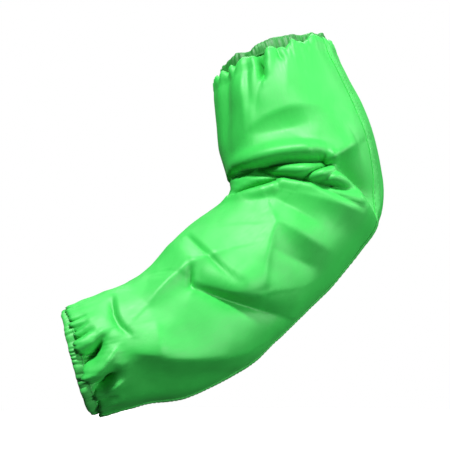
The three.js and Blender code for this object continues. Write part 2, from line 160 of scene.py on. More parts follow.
# at and around of three places on the fold's line, then its depth and width as shares of
# FOLD_DEPTH and FOLD_WIDTH, where along the line it is deepest, the height of the roll beside it
# as a share of its depth (negative on the right), and how far the roll leans over it, in widths
FOLDS = [
    ((0.1, 0.2, 0.31), (98, 99, 101), 0.75, 0.5, 0.1, 0.3, 0.3),
    ((0.1, 0.3, 0.48), (112, 115, 117), 0.4, 0.6, 0.1, 0, 0),
    ((0.1, 0.4, 0.75), (138, 146, 153), 0.7, 1.4, 0.2, 0, 0),
    ((0.66, 0.72, 0.8), (118, 98, 76), 0.4, 2.6, 0.5, 0, 0),
    ((0.7, 0.86, 1.02), (72, 52, 34), -0.35, 2.2, 0.5, 0, 0),
    ((1.15, 1.11, 1.17), (160, 112, 76), 1.0, 0.7, 0.7, 0.5, 0.9),
    ((1.26, 1.31, 1.37), (138, 106, 58), 0.8, 0.6, 0.6, 0.4, 0.7),
    ((1.93, 1.56, 1.39), (163, 134, 117), 0.6, 0.6, 0.4, -0.4, 0.6),
    ((1.28, 1.25, 1.21), (101, 88, 74), 0.4, 0.4, 0.5, 0.2, 0.3),
    ((1.17, 1.27, 1.36), (70, 50, 20), 0.9, 1.5, 0.55, -0.35, 0.3),
    ((1.66, 1.63, 1.63), (126, 92, 60), 0.45, 2, 0.4, 0, 0),
    ((1.89, 1.85, 1.81), (106, 78, 48), -0.35, 1.9, 0.5, 0, 0),
    ((2.01, 2.01, 2.03), (94, 70, 44), 0.4, 1.7, 0.5, 0, 0),
    ((2.3, 2.32, 2.29), (162, 128, 100), 0.35, 1.1, 0.5, 0, 0),
    ((2.46, 2.34, 2.21), (124, 88, 42), 0.8, 1.4, 0.5, 0.35, 0.4),
    ((2.24, 2.45, 2.68), (116, 132, 122), -0.3, 1.5, 0.6, 0, 0),
    ((2.82, 2.64, 2.44), (84, 70, 42), -0.35, 1.8, 0.4, 0, 0),
    ((2.84, 2.66, 2.42), (58, 44, 22), 0.45, 2.2, 0.4, 0, 0),
    ((2.79, 2.81, 2.79), (152, 125, 100), 0.4, 0.9, 0.4, 0, 0),
    ((2.88, 2.93, 2.96), (108, 97, 86), 0.8, 0.55, 0.6, -0.4, 0.3),
    ((2.87, 2.92, 2.96), (72, 64, 55), 0.8, 0.55, 0.6, -0.4, 0.3),
    ((2.87, 2.92, 2.96), (92, 82, 70), -0.5, 0.7, 0.6, 0, 0),
    ((2.92, 2.94, 2.96), (128, 126, 124), 0.5, 0.8, 0.8, 0, 0),
    ((1.15, 1.2, 1.3), (200, 232, 272), 0.9, 0.8, 0.4, -0.4, 0.6),
    ((1.6, 1.52, 1.45), (204, 236, 282), 0.8, 0.8, 0.4, 0.4, 0.6),
    ((1.35, 1.36, 1.38), (300, 320, 338), 0.7, 1.7, 0.5, -0.3, 0.2),
    ((0.5, 0.62, 0.78), (300, 270, 240), 0.5, 2.4, 0.5, 0, 0),
    ((2.1, 2.3, 2.5), (300, 268, 232), 0.6, 1.9, 0.5, -0.3, 0),
    ((2.68, 2.76, 2.84), (310, 276, 246), 0.5, 1.2, 0.5, 0, 0),
]

# Sharp creases in and beside the folds, in the same columns
CREASES = [
    ((0.1, 0.18, 0.3), (98, 99, 101), 1.8, 0.42, 0.1, 0.15, 0.3),
    ((0.1, 0.16, 0.22), (84, 83, 80), 0.4, 0.3, 0.1, 0.4, 0.3),
    ((0.1, 0.13, 0.17), (126, 127, 128), 0.4, 0.3, 0.1, 0.4, 0.3),
    ((0.1, 0.13, 0.18), (66, 64, 60), 0.35, 0.3, 0.1, 0.4, 0.3),
    ((0.1, 0.13, 0.17), (48, 49, 50), 0.3, 0.25, 0.1, 0.4, 0.3),
    ((1.15, 1.105, 1.15), (152, 112, 77), 1.9, 0.6, 0.8, 0.4, 0.5),
    ((1.15, 1.18, 1.16), (77, 72, 66), 0.9, 0.4, 0.3, 0.35, 0.5),
    ((1.14, 1.18, 1.22), (80, 73, 76), 0.8, 0.4, 0.3, 0.4, 0.4),
    ((1.25, 1.31, 1.4), (136, 102, 56), 1.7, 0.5, 0.78, 0.35, 0.5),
    ((1.4, 1.43, 1.46), (86, 70, 48), 0.6, 0.35, 0.5, 0.4, 0.5),
    ((1.3, 1.25, 1.2), (103, 88, 73), 0.8, 0.3, 0.6, 0.4, 0.5),
    ((1.34, 1.31, 1.26), (96, 84, 70), 0.7, 0.28, 0.5, 0.4, 0.5),
    ((1.93, 1.58, 1.39), (163, 134, 118), 1.5, 0.5, 0.8, -0.35, 0.55),
    ((2.3, 2.31, 2.27), (160, 120, 90), 0.3, 0.35, 0.4, 0.4, 0.2),
    ((2.4, 2.43, 2.46), (128, 122, 116), 0.6, 0.35, 0.7, 0.4, 0.3),
    ((2.78, 2.81, 2.79), (150, 124, 102), 0.45, 0.35, 0.4, 0.4, 0.3),
    ((2.88, 2.92, 2.95), (107, 99, 92), 1.6, 0.8, 0.5, -0.2, 0.1),
    ((2.88, 2.92, 2.95), (71, 65, 59), 1.6, 0.8, 0.5, -0.2, 0.1),
    ((2.9, 2.94, 2.97), (121, 117, 113), 0.5, 0.3, 0.6, 0.4, 0.3),
    ((2.91, 2.94, 2.97), (132, 129, 126), 0.4, 0.28, 0.6, 0.4, 0.3),
    ((2.91, 2.94, 2.97), (143, 141, 139), 0.4, 0.28, 0.6, 0.4, 0.3),
    ((2.9, 2.94, 2.97), (42, 37, 30), 0.7, 0.4, 0.6, 0.4, 0.3),
]

# Crests of the broad folds. at and around of three places on the crest, its height, where along
# it is highest, and how far it falls away on the left and on the right of the line, as shares of
# FOLD_DEPTH and FOLD_WIDTH; a negative height is a hollow
CRESTS = [
    ((2.43, 2.34, 2.22), (120, 94, 71), 1.4, 0.6, 3.6, 0.9),
    ((2.46, 2.35, 2.19), (116, 86, 32), -1.0, 0.5, 0.9, 1.7),
    ((2.21, 2.1, 1.88), (74, 94, 114), 1.0, 0.3, 2.8, 0.9),
    ((1.2, 1.11, 1.04), (77, 62, 44), 1.6, 0.6, 3.2, 1.5),
    ((1.3, 1.42, 1.47), (76, 50, 20), 0.7, 0.6, 0.9, 2.6),
    ((1.2, 1.34, 1.44), (70, 48, 18), -2.2, 0.6, 3.6, 0.8),
    ((1.27, 1.29, 1.31), (122, 110, 94), -0.8, 0.5, 0.7, 0.7),
    ((1.0, 0.99, 1.06), (150, 110, 76), 0.7, 0.5, 3.0, 0.8),
    ((1.51, 1.49, 1.47), (98, 73, 48), 0.35, 0.6, 0.7, 2.2),
    ((0.73, 0.81, 0.81), (124, 100, 76), -0.5, 0.5, 2.8, 2.0),
    ((0.76, 0.64, 0.72), (134, 100, 60), 0.5, 0.6, 2.2, 1.2),
    ((1.94, 1.87, 1.81), (108, 80, 46), 0.35, 0.5, 1.1, 1.1),
    ((1.66, 1.69, 1.7), (119, 96, 68), -0.35, 0.5, 1.3, 1.3),
    ((2.08, 2.04, 1.98), (94, 73, 48), -0.35, 0.5, 1.3, 1.3),
    ((2.81, 2.62, 2.38), (86, 66, 37), 0.8, 0.4, 3.2, 1.5),
    ((2.71, 2.69, 2.67), (76, 90, 107), 0.45, 0.5, 2.0, 0.8),
    ((2.66, 2.46, 2.24), (124, 130, 116), 1.1, 0.4, 2.4, 0.9),
    ((2.84, 2.89, 2.94), (96, 84, 74), 0.9, 0.4, 0.8, 0.5),
    ((2.86, 2.9, 2.94), (117, 110, 105), 0.7, 0.4, 0.7, 0.45),
    ((2.86, 2.9, 2.94), (60, 55, 50), 0.7, 0.4, 0.5, 0.6),
    ((0.25, 0.42, 0.6), (100, 108, 114), -0.3, 0.3, 0.8, 0.8),
    ((0.14, 0.44, 0.72), (118, 121, 126), 0.3, 0.3, 1.0, 1.2),
    ((0.12, 0.33, 0.55), (76, 80, 88), 0.3, 0.3, 1.5, 1.5),
    ((1.2, 1.3, 1.45), (215, 245, 290), -0.5, 0.5, 1.2, 2.4),
    ((0.5, 0.7, 0.95), (320, 290, 255), 0.4, 0.5, 2.6, 1.0),
    ((2.0, 2.2, 2.5), (320, 285, 240), 0.4, 0.5, 1.0, 2.6),
    ((2.5, 2.65, 2.85), (330, 290, 235), -0.4, 0.5, 1.0, 2.0),
]

# How fast a crest falls away, how rounded its edge is, and how much lower its ends are
CREST_FALL = 1.35
CREST_EDGE = 0.1
CREST_ENDS = 0.8
FOLD_ENDS = 0.75

# Where the folds reach their full height, in tucks of the body into the hem
FOLD_START = 1.8

# Soft ripples: height, seed of the random lattice, its cell along the tube, its cells around
RIPPLES = [(1.0, 4, 30, 12), (0.35, 9, 12, 30)]
WAVE_HEIGHT = 1.2
WAVE_SEED, WAVE_CELL, WAVE_CELLS = 21, 42, 9
WAVE_EDGE = 0.06

# The gathered hems' wandering along the tube, in the same columns
WANDER = [(1.5, 31, 14, 26), (0.9, 33, 7, 47)]
WANDER_LIFT = 0.8
WANDER_TURN = 11


# The shape of the cloth

def length_at(at):
    return np.interp(at, [0, 1, 2, 3], [0, UPPER_RUN, UPPER_RUN + ELBOW_RUN, RUN])


def smoothly(places, values, place):
    """A smooth curve through a table's values that never overshoots them."""
    places, values = np.asarray(places, float), np.asarray(values, float)
    rate = np.diff(values) / np.diff(places)
    slope = np.concatenate([rate[:1], np.zeros(len(rate) - 1), rate[-1:]])
    before, after = rate[:-1], rate[1:]
    same = before * after > 0
    slope[1:-1][same] = 2 * before[same] * after[same] / (before[same] + after[same])
    row = np.clip(np.searchsorted(places, place) - 1, 0, len(rate) - 1)
    span = places[row + 1] - places[row]
    t = np.clip((place - places[row]) / span, 0, 1)
    ends = values[row] * (1 + 2 * t) * (1 - t) ** 2 + values[row + 1] * t * t * (3 - 2 * t)
    return ends + span * t * (1 - t) * ((1 - t) * slope[row] - t * slope[row + 1])


def unit(vectors):
    return vectors / np.linalg.norm(vectors, axis=-1, keepdims=True)


def heading_at(along):
    places = length_at(PATH["at"])
    heading = np.radians(np.interp(along, places, PATH["heading"]))
    lean = np.radians(np.interp(along, places, PATH["lean"]))
    return np.stack(
        [-np.sin(heading) * np.cos(lean), -np.sin(lean), -np.cos(heading) * np.cos(lean)], -1
    )


line_places = np.linspace(0, RUN, LINE_STEPS + 1)
line_middles = (line_places[1:] + line_places[:-1]) / 2
line_points = np.vstack([np.zeros(3), np.cumsum(heading_at(line_middles) * RUN / LINE_STEPS, axis=0)])

section_places = length_at([row[0] for row in SECTIONS])
section_sizes = [[row[1] / (2 * np.pi) * row[k] for row in SECTIONS] for k in (2, 3, 4)]


def plain_surface(along, around):
    """Points of the tube's middle surface before it is folded."""
    along, around = np.broadcast_arrays(np.asarray(along, float), np.asarray(around, float))
    middle = np.stack([np.interp(along, line_places, line_points[:, k]) for k in range(3)], -1)
    tangent = heading_at(along)
    front = unit(np.array([0.0, -1.0, 0.0]) + tangent * tangent[..., 1:2])
    outer = np.cross(front, tangent)
    wide, deep, out = (smoothly(section_places, sizes, along) for sizes in section_sizes)
    turn = np.radians(around)
    return middle + outer * (out + wide * np.cos(turn))[..., None] + front * (deep * np.sin(turn))[..., None]


def outward(along, around):
    nudge = 0.5
    lengthwise = plain_surface(np.minimum(along + nudge, RUN), around)
    lengthwise = lengthwise - plain_surface(np.maximum(along - nudge, 0), around)
    crosswise = plain_surface(along, around + nudge) - plain_surface(along, around - nudge)
    return unit(np.cross(crosswise, lengthwise))


def through(three, t):
    return three[0] * (1 - t) * (1 - 2 * t) + 4 * three[1] * t * (1 - t) + three[2] * t * (2 * t - 1)


def bell(x):
    return np.exp(-x * x)


def beside_line(points, normals, at, around):
    """Where each point lies along a line on the tube, how far to its left, and which way left is."""
    steps = np.linspace(0, 1, FOLD_STEPS)
    line = plain_surface(length_at(through(at, steps)), through(around, steps))
    nearest = np.full(points.shape[:-1], 1e9)
    place = np.zeros(nearest.shape)
    away = np.zeros(points.shape)
    left = np.zeros(points.shape)
    for i in range(len(steps) - 1):
        run = line[i + 1] - line[i]
        share = np.clip((points - line[i]) @ run / (run @ run), 0, 1)
        gap = points - (line[i] + share[..., None] * run)
        distance = np.linalg.norm(gap, axis=-1)
        closer = distance < nearest
        nearest[closer] = distance[closer]
        place[closer] = ((i + share) / (len(steps) - 1))[closer]
        away[closer] = gap[closer]
        left[closer] = np.cross(normals, unit(run))[closer]
    side = np.sign((away * left).sum(-1))
    return place, nearest * side, left


def from_peak(place, peak):
    return np.where(place < peak, (peak - place) / peak, (place - peak) / (1 - peak))


def folded(points, normals, folds):
    """How far the folds lift each point, and how far they drag it sideways."""
    height = np.zeros(points.shape[:-1])
    drag = np.zeros(points.shape)
    for at, around, deep, wide, peak, lip, lean in folds:
        place, across, left = beside_line(points, normals, at, around)
        width = wide * FOLD_WIDTH
        far = from_peak(place, peak)
        strength = deep * FOLD_DEPTH * (1 - FOLD_ENDS * far**2)
        hand = np.sign(lip) if lip else 1
        across = across / width * hand
        roll = bell((across - 1.9) / 1.1)
        height += strength * (abs(lip) * roll - bell(across))
        if lean:
            pull = lean * width * (1 - 0.9 * far**2) * bell((across - 0.9) / 1.1)
            drag -= left * (hand * pull)[..., None]
    return height, drag


def crested(points, normals, crests):
    """How far the broad crests and hollows lift each point: flat slopes that meet in an edge."""
    height = np.zeros(points.shape[:-1])
    for at, around, high, peak, left_width, right_width in crests:
        place, across, _ = beside_line(points, normals, at, around)
        width = np.where(across > 0, left_width, right_width) * FOLD_WIDTH
        slope = np.exp(-CREST_FALL * np.hypot(across / width, CREST_EDGE))
        height += high * FOLD_DEPTH * (1 - CREST_ENDS * from_peak(place, peak) ** 2) * slope
    return height


def gathers(along, around):
    """Uneven pleats at both openings, which fade out along the body."""
    height = 0
    # Pleats, hem, distance from the opening, turn in degrees
    ends = (
        (UPPER_PLEATS, UPPER_HEM, along, 40),
        (WRIST_PLEATS, WRIST_HEM, RUN - along, 15),
    )
    for pleats, hem, distance, start in ends:
        past = np.maximum(0, distance - hem) / PLEAT_REACH
        turn = np.radians(around + start)
        drift = 0.8 * np.sin(2 * turn) + 0.5 * np.sin(3 * turn + 1)
        uneven = 0.65 + 0.35 * np.sin(5 * turn + 2)
        swell = 0.45 + 2.6 * past
        wave = np.cos(pleats * turn + drift)
        height = height + PLEAT_DEPTH * uneven * swell * np.exp(-3 * past) * wave
    return height


def tucks(around, count, past_opening=0.0):
    """Uneven small tucks round an opening: round ridges with sharp, slanting valleys between them."""
    turn = np.radians(around)
    drift = 3.6 * np.sin(3 * turn + 0.6) + 2.6 * np.sin(7 * turn) + 1.6 * np.sin(13 * turn + 2)
    drift = drift + 0.3 * past_opening * np.sin(4 * turn + 1)
    uneven = 0.7 + 0.3 * np.sin(11 * turn + 1.3)
    return uneven * (2 * np.abs(np.cos((count * turn + drift) / 2)) ** 0.8 - 1.1)


def fine_gathers(along, around):
    """The small tucks of the gathered hems, closer together than the pleats."""
    height = 0
    # Tucks, hem, distance from the opening, height, reach
    ends = (
        (UPPER_TUCKS, UPPER_HEM, along, 0.7, 3.8),
        (WRIST_TUCKS, WRIST_HEM, RUN - along, 0.9, 5.0),
    )
    for count, hem, distance, size, reach in ends:
        past = np.maximum(0, distance - hem) / reach
        height = height + size * (1 + 1.5 * past) * np.exp(-past) * tucks(around, count, distance)
    return height


def puffed(along, around):
    """The body swells out in scallops beside both hems, and slumps over them."""
    turn = np.radians(around)
    scallops = 0.5 + 0.5 * np.cos(SCALLOPS * turn + 2.2 * np.sin(2 * turn + 1) + 1.4 * np.sin(5 * turn))
    fuller = 1 + 0.5 * bell((around - 52) / 22) - 0.35 * bell((around - 80) / 16)
    upper = bell((along - UPPER_HEM - UPPER_PUFF_PAST) / UPPER_PUFF_WIDTH)
    upper = upper * (0.35 + 0.65 * scallops) * fuller
    wrist = bell((RUN - WRIST_HEM - WRIST_PUFF_PAST - along) / WRIST_PUFF_WIDTH)
    wrist = wrist * (0.7 + 0.35 * tucks(around, WRIST_TUCKS))
    return UPPER_PUFF * upper + WRIST_PUFF * wrist, WRIST_SLUMP * wrist + UPPER_SLUMP * upper


def ripples(along, around, seed, cell_along, cells_around):
    """Soft uneven waves: a periodic lattice of random heights, smoothed between its knots."""
    numbers = np.random.default_rng(seed)
    rows = int(np.ceil(RUN / cell_along)) + 2
    lattice = numbers.uniform(-1, 1, (rows, cells_around))
    u = along / cell_along
    v = (around % 360) / 360 * cells_around
    i, j = np.floor(u).astype(int), np.floor(v).astype(int)
    s, t = u - i, v - j
    s, t = s * s * (3 - 2 * s), t * t * (3 - 2 * t)
    i = np.clip(i, 0, rows - 2)
    near = lattice[i, j % cells_around] * (1 - t) + lattice[i, (j + 1) % cells_around] * t
    far = lattice[i + 1, j % cells_around] * (1 - t) + lattice[i + 1, (j + 1) % cells_around] * t
    return near * (1 - s) + far * s


def crushed(along, around):
    """Each gathered hem wanders along the tube, as elastic pulls cloth together unevenly."""
    upper = bell(along / UPPER_CRUSH_REACH)
    wrist = bell((RUN - along) / WRIST_CRUSH_REACH)
    wander = sum(high * ripples(along, around, *lattice) for high, *lattice in WANDER)
    return wander * (UPPER_CRUSH * upper + WRIST_CRUSH * wrist)


def cloth_surface(along, around):
    """Points of the folded cloth's middle surface, and the directions that point out of it."""
    along, around = np.broadcast_arrays(np.asarray(along, float), np.asarray(around, float))
    points, normals = plain_surface(along, around), outward(along, around)
    near_hem = np.minimum(along - UPPER_HEM, RUN - WRIST_HEM - along) / HEM_TUCK
    t = np.clip(near_hem / FOLD_START, 0, 1)
    clear = t * t * (3 - 2 * t)
    lift, drag = folded(points, normals, FOLDS + CREASES)
    lift = lift + crested(points, normals, CRESTS)
    for high, *lattice in RIPPLES:
        lift = lift + high * ripples(along, around, *lattice)
    wave = ripples(along, around, WAVE_SEED, WAVE_CELL, WAVE_CELLS)
    lift = lift + WAVE_HEIGHT * np.hypot(wave, WAVE_EDGE)
    height = gathers(along, around) + fine_gathers(along, around) + clear * lift
    puff, slump = puffed(along, around)
    height = height + puff
    slump = slump + crushed(along, around)
    height = height + WANDER_LIFT * crushed(along, around + WANDER_TURN)
    drag = drag * clear[..., None] + heading_at(along) * slump[..., None]
    return points + normals * height[..., None] + drag, normals


def cloth_points(along, around, lift):
    points, normals = cloth_surface(along, around)
    return points + normals * np.asarray(lift, float)[..., None]


# Making meshes

def new_piece(name, points, faces, sheet_places=None):
    """A mesh object from points in millimetres, with the places on the cloth as its UV map."""
    mesh = bpy.data.meshes.new(name)
    mesh.from_pydata((np.asarray(points).reshape(-1, 3) * MM).tolist(), [], faces)
    piece = bpy.data.objects.new(name, mesh)
    bpy.context.collection.objects.link(piece)
    if sheet_places is not None:
        spots = np.asarray(sheet_places).reshape(-1, 2)
        layer = mesh.uv_layers.new(name="cloth")
        corners = np.empty(len(mesh.loops), dtype=np.int32)
        mesh.loops.foreach_get("vertex_index", corners)
        layer.data.foreach_set("uv", (spots[corners] / CLOTH_UNIT).astype(np.float32).ravel())
    mesh.shade_smooth()
    return piece


def select_only(piece):
    bpy.ops.object.select_all(action="DESELECT")
    piece.select_set(True)
    bpy.context.view_layer.objects.active = piece


def face_out(piece):
    select_only(piece)
    bpy.ops.object.mode_set(mode="EDIT")
    bpy.ops.mesh.select_all(action="SELECT")
    bpy.ops.mesh.normals_make_consistent(inside=False)
    bpy.ops.object.mode_set(mode="OBJECT")


def ring_faces(rings, columns, closed):
    """Quads between rings of points; a closed profile joins its last ring to its first."""
    faces = []
    for ring in range(rings if closed else rings - 1):
        after = (ring + 1) % rings
        for column in range(columns):
            beside = (column + 1) % columns
            faces.append(
                (
                    ring * columns + column,
                    ring * columns + beside,
                    after * columns + beside,
                    after * columns + column,
                )
            )
    return faces


def ring_piece(name, profile, columns):
    """A band round the tube, swept from a closed profile of places along it and lifts."""
    around = np.arange(columns) * 360 / columns
    along = np.array([place for place, _ in profile])[:, None] + 0 * around
    lift = np.array([height for _, height in profile])[:, None] + 0 * around
    points = cloth_points(along, around[None, :], lift)
    around = np.broadcast_to(around, along.shape)
    reach = np.cumsum([0] + [abs(b[0] - a[0]) + abs(b[1] - a[1]) for a, b in zip(profile, profile[1:])])
    places = np.stack([around / 360 * UPPER_GIRTH, reach[:, None] + 0 * around], -1)
    piece = new_piece(name, points, ring_faces(len(profile), columns, True), places)
    face_out(piece)
    return piece


# The body of the sleeve

def body_rows():
    """Rows of the body, closer together round the elbow and beside the hems."""
    start, end = UPPER_HEM - HEM_TUCK, RUN - WRIST_HEM + HEM_TUCK
    fine = np.linspace(start, end, 2000)
    elbow = bell((fine - length_at(1.3)) / 34)
    hems = bell((fine - start) / 16) + bell((fine - end) / 22)
    density = np.cumsum(1 + 0.9 * elbow + 0.8 * hems)
    density = (density - density[0]) / (density[-1] - density[0])
    return np.interp(np.linspace(0, 1, BODY_ROWS), density, fine)


def body_columns():
    """Columns of the body, closer together at the front, where the folds are."""
    fine = np.linspace(0, 360, 2001)
    density = np.cumsum(1 + 0.9 * bell((fine - 95) / 60))
    density = (density - density[0]) / (density[-1] - density[0])
    return np.interp(np.arange(BODY_COLUMNS) / BODY_COLUMNS, density, fine)


def make_body():
    along = body_rows()[:, None]
    around = body_columns()[None, :]
    points, _ = cloth_surface(along, around)
    along, around = np.broadcast_arrays(along, around)
    places = np.stack([around / 360 * UPPER_GIRTH, along], -1)
    faces = ring_faces(BODY_ROWS, BODY_COLUMNS, False)
    body = new_piece("sleeve_cloth_body", points, faces, places)
    select_only(body)
    wall = body.modifiers.new("wall", "SOLIDIFY")
    wall.thickness = CLOTH * MM
    wall.offset = 0
    bpy.ops.object.modifier_apply(modifier=wall.name)
    face_out(body)
    return body


# The hems, their elastics and the seam

LEG_INSIDE = CLOTH / 2 + FIT
LEG_OUTSIDE = LEG_INSIDE + HEM_CLOTH


def casing_profile(opening, inwards, depth):
    """Cloth turned back on itself over the elastic, with the body's edge between its legs."""
    belly = 0.5
    # Place inwards from the opening, then height over the body's middle surface
    half = [
        (0.0, 0.35),
        (0.35, 1.35),
        (1.1, LEG_OUTSIDE + 0.1),
        (0.35 * depth, LEG_OUTSIDE + belly),
        (0.62 * depth, LEG_OUTSIDE + 0.6 * belly),
        (depth - 1.9, LEG_OUTSIDE - 0.1),
        (depth - 1.2, LEG_OUTSIDE - 0.25),
        (depth - 0.4, LEG_OUTSIDE - 0.05),
        (depth, LEG_OUTSIDE - 0.4),
        (depth, LEG_INSIDE),
        (0.5 * depth, LEG_INSIDE + 0.1),
        (HEM_CLOTH, LEG_INSIDE - 0.25),
    ]
    other = [(place, -lift) for place, lift in reversed(half)]
    return [(opening + inwards * place, lift) for place, lift in half + other]


def elastic_profile(opening, inwards, depth):
    near, far = HEM_CLOTH + 2 * FIT, depth - HEM_TUCK - FIT
    corners = [(near, ELASTIC / 2), (far, ELASTIC / 2), (far, -ELASTIC / 2), (near, -ELASTIC / 2)]
    return [(opening + inwards * place, lift) for place, lift in corners]


SEAM_HALF_ANGLE = SEAM_WIDTH / UPPER_GIRTH * 180


def seam_around(along):
    return np.interp(along, length_at(SEAM_LINE["at"]), SEAM_LINE["around"])


def make_seam():
    """The lengthwise seam: a flat fold of cloth with two rows of stitches sunk into it."""
    top = CLOTH / 2 + SEAM_GAP + SEAM_CLOTH
    under = CLOTH / 2 + SEAM_GAP
    # Place across the seam in half widths, then height over the body's middle surface
    across = [
        (-1.0, under),
        (-1.0, top - 0.35),
        (-0.88, top - 0.05),
        (-0.7, top - 0.22),
        (-0.5, top),
        (0.0, top + 0.1),
        (0.5, top),
        (0.7, top - 0.22),
        (0.88, top - 0.05),
        (1.0, top - 0.35),
        (1.0, under),
    ]
    along = np.arange(UPPER_HEM + 2 * FIT, RUN - WRIST_HEM - 2 * FIT, SEAM_STEP)
    shape = (len(along), len(across))
    places = np.broadcast_to(along[:, None], shape)
    around = seam_around(along)[:, None] + SEAM_HALF_ANGLE * np.array([a for a, _ in across])
    wavy = 0.12 * np.sin(along / 2.1)[:, None] * (np.abs(np.array([a for a, _ in across])) < 0.9)
    lift = np.broadcast_to([h for _, h in across], shape) + wavy
    points = cloth_points(places, around, lift)
    count = len(across)
    faces = ring_faces(len(along), count, False)
    faces.append(tuple(range(count)))
    faces.append(tuple(reversed([(len(along) - 1) * count + column for column in range(count)])))
    spots = np.stack([around / 360 * UPPER_GIRTH, places], -1)
    seam = new_piece("arm_seam_cloth", points, faces, spots)
    face_out(seam)
    return seam


def make_stitches(name, starts, ends, outs):
    """One small spindle of thread from each start to its end, all joined in one mesh."""
    # Where each ring is along the stitch, and how thick the stitch is there
    rings = (0.0, 0.18, 0.5, 0.82, 1.0)
    girths = (0.25, 0.85, 1.0, 0.85, 0.25)
    sides = 6
    run = ends - starts
    side = unit(np.cross(run, outs))
    points = []
    for share, girth in zip(rings, girths):
        centre = starts + run * share + outs * (0.5 * THREAD * np.sin(np.pi * share))[..., None]
        for k in range(sides):
            turn = 2 * np.pi * k / sides
            points.append(centre + THREAD * girth * (side * np.cos(turn) + unit(outs) * np.sin(turn)))
    count = len(points)
    points = np.stack(points, 1)
    one = ring_faces(len(rings), sides, False)
    one.append(tuple(range(sides)))
    one.append(tuple(reversed(range(count - sides, count))))
    faces = [tuple(n * count + corner for corner in face) for n in range(len(starts)) for face in one]
    stitches = new_piece(name, points, faces)
    face_out(stitches)
    return stitches


def ring_stitches(name, along, lift, girth):
    count = int(girth / STITCH)
    first = np.arange(count) * 360 / count
    last = first + STITCH_SHARE * 360 / count
    starts, normals = cloth_surface(np.full(count, along), first)
    ends, _ = cloth_surface(np.full(count, along), last)
    return make_stitches(name, starts + normals * lift, ends + normals * lift, normals)


def seam_stitches(name, side):
    first = np.arange(UPPER_HEM + 3, RUN - WRIST_HEM - 5, STITCH)
    around = seam_around(first) + 0.7 * side * SEAM_HALF_ANGLE
    lift = CLOTH / 2 + SEAM_GAP + SEAM_CLOTH - STITCH_SINK
    starts, normals = cloth_surface(first, around)
    ends, _ = cloth_surface(first + STITCH_SHARE * STITCH, around)
    return make_stitches(name, starts + normals * lift, ends + normals * lift, normals)


# Materials

# Sateen: the ribs' slant in degrees and share of the weave, slubs and clouds per 100 mm of cloth,
# and the roughness of the smoothest threads and what slubs add to it
RIB_SLANT = 63
RIB_SHARE = 0.6
SLUB_SCALE = (90, 9, 1)
CLOUD_SCALE = 3.2
SMOOTHEST = 0.44
SLUB_ROUGHNESS = 0.24
SPECULAR = 0.75
SHEEN_TINT = (0.3, 1.0, 0.35, 1)
BUMP_STRENGTH = 0.25
BUMP_HEIGHT = 0.0002


def set_input(shader, name, value):
    shader.inputs[name].default_value = value


